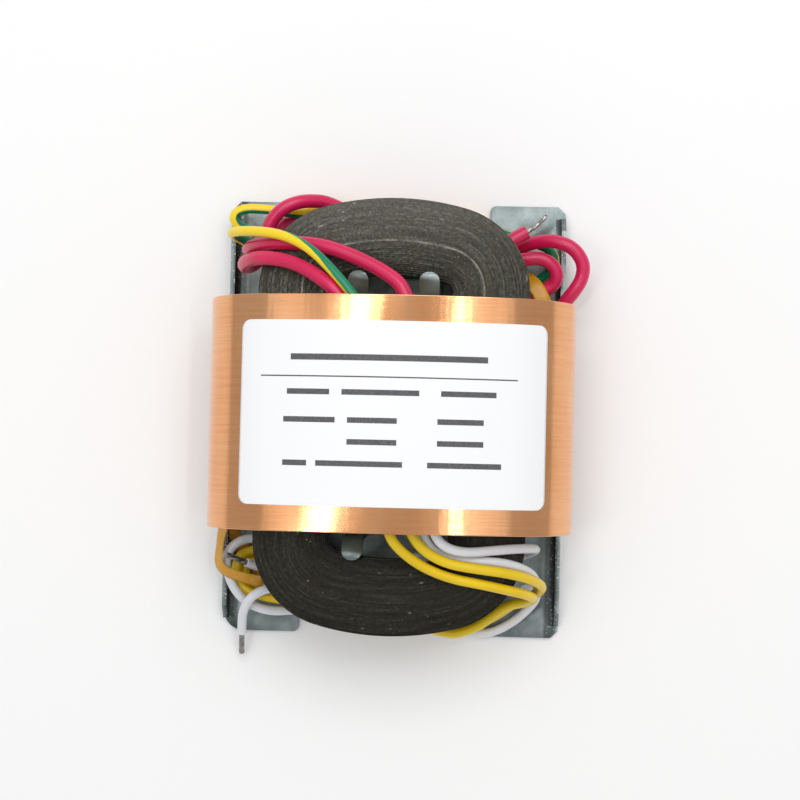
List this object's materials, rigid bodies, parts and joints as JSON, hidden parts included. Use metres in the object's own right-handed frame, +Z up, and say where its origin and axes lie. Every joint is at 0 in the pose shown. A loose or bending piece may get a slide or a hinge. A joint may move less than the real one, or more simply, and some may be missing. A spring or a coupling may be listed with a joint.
{
  "type": "r-core transformer",
  "caption": "Small mains transformer with a wound round-section ring core, coils under a wide copper strap, flanged mounting bracket and looped flying leads.",
  "frame": {"origin": "bottom centre of the transformer without its leads, on the surface the bracket stands on", "axes": "+X across the two coils, +Y along the coils' axes towards the mains leads' end, +Z up out of the bracket"},
  "size_m": [0.0646, 0.0816, 0.0322],
  "materials": {
    "silicon_steel_strip": "varnished, with the strip edges showing",
    "nylon": "natural, moulded",
    "enamelled_wire": "enamelled copper wire",
    "polyester_tape": "thin film tape",
    "screen_copper": "copper foil",
    "strap_copper": "rolled copper, brushed round the strap",
    "insulating_paper": "calendered insulating paper",
    "label_film": "white coated film, bare",
    "zinc_plate": "bright zinc plated sheet steel",
    "joint_tape": "tape over soldered joints",
    "red_insulation": "soft pvc",
    "yellow_green_insulation": "soft pvc, yellow with a green stripe",
    "yellow_insulation": "soft pvc",
    "white_insulation": "soft pvc",
    "tinned_copper": "tinned stranded copper",
    "amber_tape": "amber film tape"
  },
  "bodies": {
    "root": {"core": "silicon_steel_strip", "left_bobbin_upper_half": "nylon", "left_bobbin_lower_half": "nylon", "left_primary_winding": "enamelled_wire", "left_interlayer_tape": "polyester_tape", "left_screen_foil": "screen_copper", "left_secondary_winding": "enamelled_wire", "left_coil_wrap": "polyester_tape", "right_bobbin_upper_half": "nylon", "right_bobbin_lower_half": "nylon", "right_primary_winding": "enamelled_wire", "right_interlayer_tape": "polyester_tape", "right_screen_foil": "screen_copper", "right_secondary_winding": "enamelled_wire", "right_coil_wrap": "polyester_tape", "insulation_sleeve": "insulating_paper", "copper_band": "strap_copper", "label": "label_film", "mounting_bracket": "zinc_plate", "primary_end_yoke_clamp": "zinc_plate", "secondary_end_yoke_clamp": "zinc_plate", "primary_joint_wrap": "joint_tape", "secondary_joint_wrap": "joint_tape", "red_lead_a": "red_insulation", "red_lead_a_conductor": "tinned_copper", "red_lead_b": "red_insulation", "red_lead_b_conductor": "tinned_copper", "yellow_green_lead": "yellow_green_insulation", "yellow_green_lead_conductor": "tinned_copper", "yellow_lead_a": "yellow_insulation", "yellow_lead_a_conductor": "tinned_copper", "yellow_lead_b": "yellow_insulation", "yellow_lead_b_conductor": "tinned_copper", "white_lead_a": "white_insulation", "white_lead_a_conductor": "tinned_copper", "white_lead_b": "white_insulation", "white_lead_b_conductor": "tinned_copper", "left_lead_tie": "amber_tape", "right_lead_tie": "amber_tape"}
  },
  "joints": []
}
